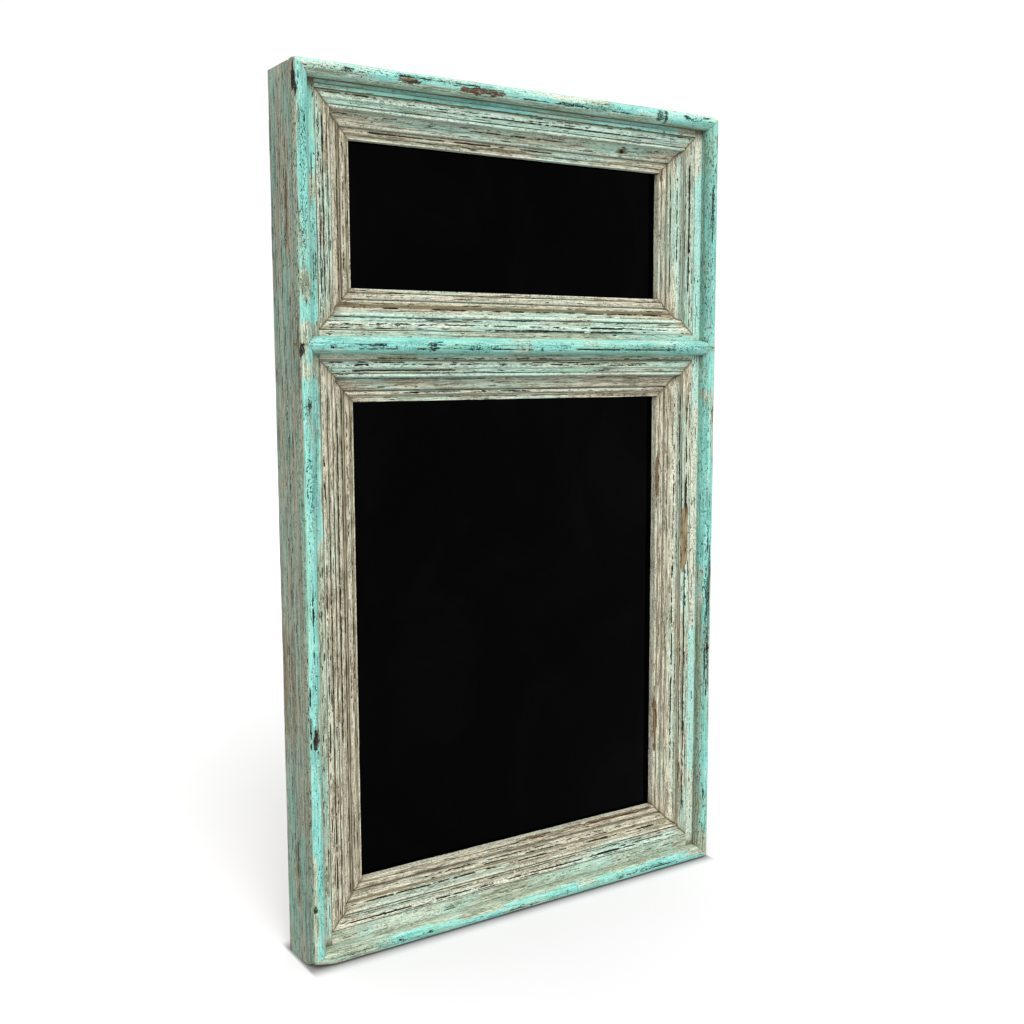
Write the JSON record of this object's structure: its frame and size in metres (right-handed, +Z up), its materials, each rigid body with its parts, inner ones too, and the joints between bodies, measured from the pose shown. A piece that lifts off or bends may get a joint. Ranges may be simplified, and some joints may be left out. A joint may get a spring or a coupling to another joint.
{
  "type": "wall mirror",
  "caption": "Tall wall mirror with a small plate above a large one, in a deep painted timber frame with half round beads, mitred stepped mouldings and ring hangers.",
  "frame": {"origin": "middle of the width and of the whole depth, on the surface that the mirror stands on", "axes": "+X to the right seen from the front, +Y from the front towards the wall, +Z up"},
  "size_m": [0.61, 0.079, 1.028],
  "materials": {
    "frame_timber": "worn grey green paint over old wood",
    "bead_paint": "chipped turquoise paint over old wood",
    "moulding_paint": "cracked cream paint over old wood",
    "mirror_plate": "polished dark mirror glass",
    "back_board": "plain plywood",
    "bare_wood": "unpainted sawn wood",
    "pin_steel": "dull steel wire",
    "hanger_steel": "zinc plated steel",
    "bumper_rubber": "matt black rubber"
  },
  "bodies": {
    "frame": {"stile_left": "frame_timber", "stile_right": "frame_timber", "rail_top": "frame_timber", "rail_middle": "frame_timber", "rail_bottom": "frame_timber", "bead_left": "bead_paint", "bead_right": "bead_paint", "bead_top_long": "bead_paint", "bead_top_short": "bead_paint", "bead_middle": "bead_paint", "bead_bottom": "bead_paint", "moulding_upper_top": "moulding_paint", "moulding_upper_bottom": "moulding_paint", "moulding_upper_left": "moulding_paint", "moulding_upper_right": "moulding_paint", "moulding_lower_top": "moulding_paint", "moulding_lower_bottom": "moulding_paint", "moulding_lower_left": "moulding_paint", "moulding_lower_right": "moulding_paint", "mirror_upper": "mirror_plate", "mirror_lower": "mirror_plate", "backboard_upper": "back_board", "backboard_lower": "back_board", "strip_upper_top": "bare_wood", "strip_upper_bottom": "bare_wood", "strip_upper_left": "bare_wood", "strip_upper_right": "bare_wood", "strip_lower_top": "bare_wood", "strip_lower_bottom": "bare_wood", "strip_lower_left": "bare_wood", "strip_lower_right": "bare_wood", "joint_pegs": "bare_wood", "bead_pins": "pin_steel", "moulding_nails": "pin_steel", "strip_pins": "pin_steel", "hanger_left": "hanger_steel", "hanger_right": "hanger_steel", "hanger_screws": "hanger_steel", "bumper_left": "bumper_rubber", "bumper_right": "bumper_rubber"},
    "ring_left": {"hanger_ring_left": "hanger_steel"},
    "ring_right": {"hanger_ring_right": "hanger_steel"}
  },
  "joints": [
    {"name": "ring_left_swing", "type": "hinge", "parent": "frame", "child": "ring_left", "pos_m": [-0.2895, 0.03578, 0.8495], "axis": [1, 0, 0], "range_deg": [0, 173]},
    {"name": "ring_right_swing", "type": "hinge", "parent": "frame", "child": "ring_right", "pos_m": [0.2895, 0.03578, 0.8495], "axis": [1, 0, 0], "range_deg": [0, 173]}
  ]
}
